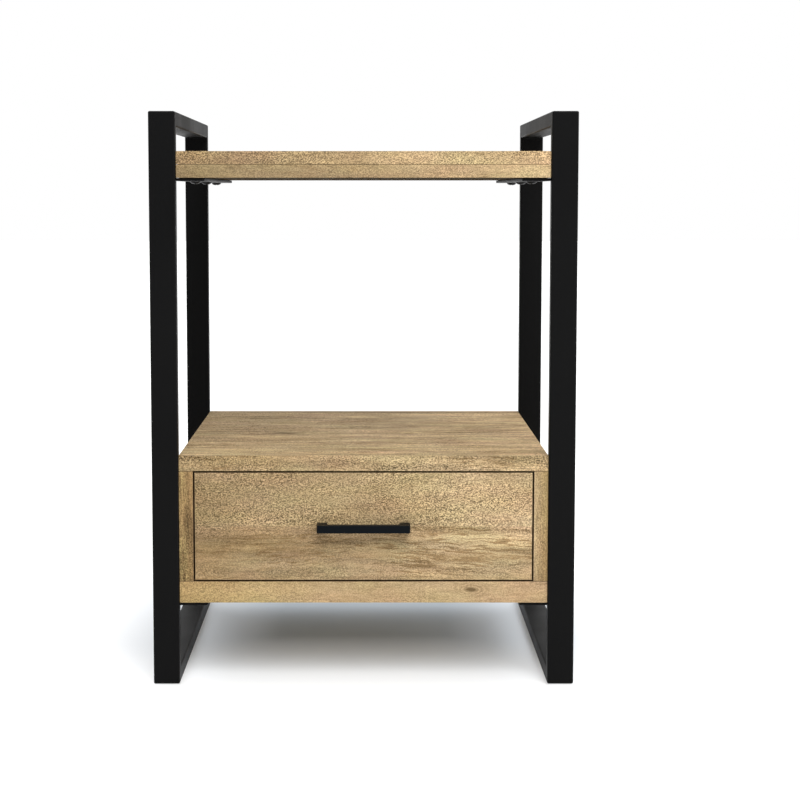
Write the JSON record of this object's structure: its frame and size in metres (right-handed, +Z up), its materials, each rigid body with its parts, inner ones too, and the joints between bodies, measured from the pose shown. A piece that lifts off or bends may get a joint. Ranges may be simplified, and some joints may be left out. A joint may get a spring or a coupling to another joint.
{
  "type": "side table with drawer",
  "caption": "Square side table: two black rectangular-tube steel frames hold a solid-wood top and a lower wooden cabinet with an inset drawer and a square bar handle.",
  "frame": {"origin": "on the floor, under the middle of the whole object's box, which includes the handle", "axes": "+Z up, +X to the right seen from the front, -Y out of the drawer's front"},
  "size_m": [0.45, 0.4676, 0.61],
  "materials": {
    "black_steel": "black powder coat, satin",
    "solid_wood": "natural oiled hardwood, fine dark pores, satin",
    "plywood": "light lacquered plywood",
    "black_handle": "smooth black paint",
    "black_screw": "black oxide, semi-gloss",
    "zinc_plate": "bright zinc plate",
    "black_plastic": "matte black moulded plastic"
  },
  "bodies": {
    "frame": {"cabinet_back": "plywood", "cabinet_bottom": "solid_wood", "cabinet_left_side": "solid_wood", "cabinet_right_side": "solid_wood", "cabinet_top": "solid_wood", "left_back_glide": "black_plastic", "left_back_leg": "black_steel", "left_cabinet_screw_1": "black_screw", "left_cabinet_screw_2": "black_screw", "left_cabinet_screw_3": "black_screw", "left_cabinet_support_bar": "black_steel", "left_foot_rail": "black_steel", "left_front_glide": "black_plastic", "left_front_leg": "black_steel", "left_slide_back_cabinet_screw": "zinc_plate", "left_slide_cabinet_channel": "zinc_plate", "left_slide_front_cabinet_screw": "zinc_plate", "left_top_rail": "black_steel", "left_top_screw_1": "black_screw", "left_top_screw_2": "black_screw", "left_top_screw_3": "black_screw", "left_top_support_bar": "black_steel", "right_back_glide": "black_plastic", "right_back_leg": "black_steel", "right_cabinet_screw_1": "black_screw", "right_cabinet_screw_2": "black_screw", "right_cabinet_screw_3": "black_screw", "right_cabinet_support_bar": "black_steel", "right_foot_rail": "black_steel", "right_front_glide": "black_plastic", "right_front_leg": "black_steel", "right_slide_back_cabinet_screw": "zinc_plate", "right_slide_cabinet_channel": "zinc_plate", "right_slide_front_cabinet_screw": "zinc_plate", "right_top_rail": "black_steel", "right_top_screw_1": "black_screw", "right_top_screw_2": "black_screw", "right_top_screw_3": "black_screw", "right_top_support_bar": "black_steel", "tabletop_lower_board": "solid_wood", "tabletop_upper_board": "solid_wood"},
    "slide_middle": {"left_slide_middle_channel": "zinc_plate", "right_slide_middle_channel": "zinc_plate"},
    "drawer": {"drawer_back": "plywood", "drawer_bottom": "plywood", "drawer_front": "solid_wood", "drawer_left_side": "plywood", "drawer_right_side": "plywood", "handle_bar": "black_handle", "handle_left_post": "black_handle", "handle_left_screw": "zinc_plate", "handle_right_post": "black_handle", "handle_right_screw": "zinc_plate", "left_slide_back_drawer_screw": "zinc_plate", "left_slide_drawer_channel": "zinc_plate", "left_slide_front_drawer_screw": "zinc_plate", "right_slide_back_drawer_screw": "zinc_plate", "right_slide_drawer_channel": "zinc_plate", "right_slide_front_drawer_screw": "zinc_plate"}
  },
  "joints": [
    {"name": "drawer_slide", "type": "slide", "parent": "frame", "child": "drawer", "axis": [0, -1, 0], "range_m": [0, 0.38]},
    {"name": "middle_slide", "type": "slide", "parent": "frame", "child": "slide_middle", "axis": [0, -1, 0], "range_m": [0, 0.19]}
  ],
  "couplings": [
    {"joint": "middle_slide", "follows": "drawer_slide", "ratio": 0.5}
  ]
}
